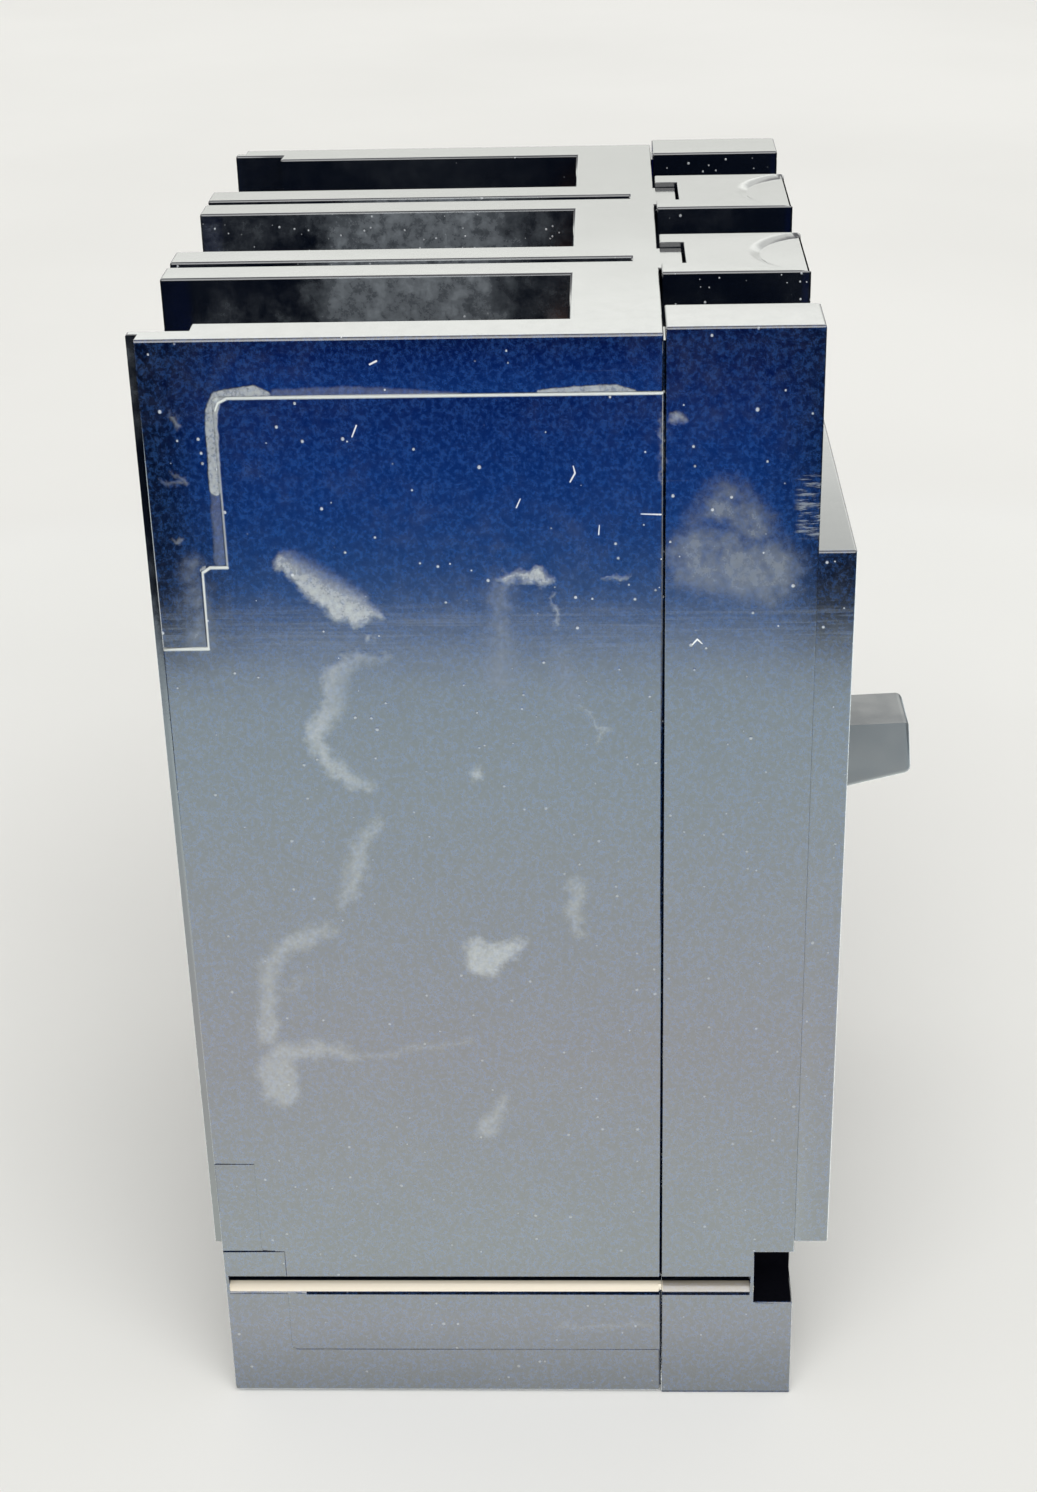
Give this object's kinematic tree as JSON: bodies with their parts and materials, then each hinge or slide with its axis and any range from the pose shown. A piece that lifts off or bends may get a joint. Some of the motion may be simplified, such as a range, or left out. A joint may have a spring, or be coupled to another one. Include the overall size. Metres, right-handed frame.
{
  "type": "molded case circuit breaker",
  "caption": "Three-pole molded case circuit breaker: black base and cover, toggle handle, contacts, arc chutes, trip unit and terminals.",
  "frame": {"origin": "centre of the bounding box's bottom, under the load end that the breaker stands on", "axes": "+Z from the load end up to the line end, -Y out of the front where the handle is, X across the poles"},
  "size_m": [0.105, 0.1024, 0.1603],
  "materials": {
    "case": "glossy moulded thermoset, blue-black, scuffed",
    "handle": "satin moulded plastic",
    "button": "satin moulded plastic",
    "fibre": "matt moulded insulating bar",
    "copper": "bare copper, slightly dull",
    "bimetal": "rolled strip",
    "zinc_steel": "zinc plated",
    "spring_steel": "oiled spring wire",
    "aluminium": "tin plated, satin"
  },
  "bodies": {
    "case": {"base": "case", "cover": "case", "cover_screw_1": "zinc_steel", "cover_screw_2": "zinc_steel", "cover_screw_3": "zinc_steel", "cover_screw_4": "zinc_steel", "frame_plate_left": "zinc_steel", "frame_plate_right": "zinc_steel", "line_terminal_1": "copper", "line_terminal_2": "copper", "line_terminal_3": "copper", "line_screw_1": "zinc_steel", "line_screw_2": "zinc_steel", "line_screw_3": "zinc_steel", "arc_chute_1": "zinc_steel", "arc_chute_2": "zinc_steel", "arc_chute_3": "zinc_steel", "shunt_1": "copper", "shunt_2": "copper", "shunt_3": "copper", "bimetal_1": "bimetal", "bimetal_2": "bimetal", "bimetal_3": "bimetal", "magnet_1": "zinc_steel", "magnet_2": "zinc_steel", "magnet_3": "zinc_steel", "load_terminal_1": "copper", "load_terminal_2": "copper", "load_terminal_3": "copper", "load_lug_1": "aluminium", "load_lug_2": "aluminium", "load_lug_3": "aluminium", "load_lug_screw_1": "zinc_steel", "load_lug_screw_2": "zinc_steel", "load_lug_screw_3": "zinc_steel", "trip_button_spring": "spring_steel"},
    "handle": {"handle": "handle", "handle_yoke": "zinc_steel", "main_spring_left": "spring_steel", "main_spring_right": "spring_steel"},
    "contacts": {"crossbar": "fibre", "contact_arm_1": "copper", "contact_arm_2": "copper", "contact_arm_3": "copper", "drive_pin": "zinc_steel"},
    "lower_links": {"lower_link_left": "zinc_steel", "lower_link_right": "zinc_steel", "toggle_pin": "zinc_steel"},
    "upper_links": {"upper_link_left": "zinc_steel", "upper_link_right": "zinc_steel"},
    "cradle": {"cradle": "zinc_steel"},
    "trip_latch": {"trip_latch": "zinc_steel"},
    "trip_bar": {"trip_bar": "fibre"},
    "trip_button": {"trip_button": "button"},
    "armature_1": {"armature_1": "zinc_steel"},
    "armature_2": {"armature_2": "zinc_steel"},
    "armature_3": {"armature_3": "zinc_steel"}
  },
  "joints": [
    {"name": "handle_swing", "type": "hinge", "parent": "case", "child": "handle", "pos_m": [0, 0.00385, 0.0748], "axis": [-1, 0, 0], "range_deg": [-27, 13], "deforming": ["main_spring_left", "main_spring_right"]},
    {"name": "contacts_turn", "type": "hinge", "parent": "case", "child": "contacts", "pos_m": [0, 0.02325, 0.075], "axis": [-1, 0, 0], "range_deg": [-21.7, 10.5], "deforming": ["shunt_1", "shunt_2", "shunt_3"]},
    {"name": "lower_link_turn", "type": "hinge", "parent": "contacts", "child": "lower_links", "pos_m": [0, 0.02449, 0.08894], "axis": [-1, 0, 0], "range_deg": [-4.2, 2.1]},
    {"name": "upper_link_turn", "type": "hinge", "parent": "lower_links", "child": "upper_links", "pos_m": [0, 0.01261, 0.08298], "axis": [-1, 0, 0], "range_deg": [-24.8, 51.5]},
    {"name": "cradle_reset", "type": "hinge", "parent": "case", "child": "cradle", "pos_m": [0, -0.00675, 0.093], "axis": [-1, 0, 0], "range_deg": [-15, 0]},
    {"name": "trip_button_push", "type": "slide", "parent": "case", "child": "trip_button", "axis": [0, 1, 0], "range_m": [0, 0.0025], "stiffness_N_per_m": 300, "springref_m": -0.002, "deforming": ["trip_button_spring"]},
    {"name": "trip_bar_turn", "type": "hinge", "parent": "case", "child": "trip_bar", "pos_m": [0, -0.00375, 0.054], "axis": [-1, 0, 0], "range_deg": [0, 14.2]},
    {"name": "trip_latch_turn", "type": "hinge", "parent": "case", "child": "trip_latch", "pos_m": [0, 0.00125, 0.064], "axis": [1, 0, 0], "range_deg": [0, 10]},
    {"name": "armature_1_pull", "type": "hinge", "parent": "case", "child": "armature_1", "pos_m": [0, 0.00255, 0.047], "axis": [1, 0, 0], "range_deg": [0, 5], "stiffness_Nm_per_rad": 0.02, "springref_deg": -5.73},
    {"name": "armature_2_pull", "type": "hinge", "parent": "case", "child": "armature_2", "pos_m": [0, 0.00255, 0.047], "axis": [1, 0, 0], "range_deg": [0, 5], "stiffness_Nm_per_rad": 0.02, "springref_deg": -5.73},
    {"name": "armature_3_pull", "type": "hinge", "parent": "case", "child": "armature_3", "pos_m": [0, 0.00255, 0.047], "axis": [1, 0, 0], "range_deg": [0, 5], "stiffness_Nm_per_rad": 0.02, "springref_deg": -5.73}
  ],
  "couplings": [
    {"joint": "contacts_turn", "follows": "handle_swing", "ratio": 0.8},
    {"joint": "lower_link_turn", "follows": "handle_swing", "ratio": 0.15},
    {"joint": "upper_link_turn", "follows": "handle_swing", "ratio": -1.9},
    {"joint": "trip_bar_turn", "follows": "trip_button_push", "rad_per_m": 97},
    {"joint": "trip_latch_turn", "follows": "trip_button_push", "rad_per_m": 69}
  ]
}
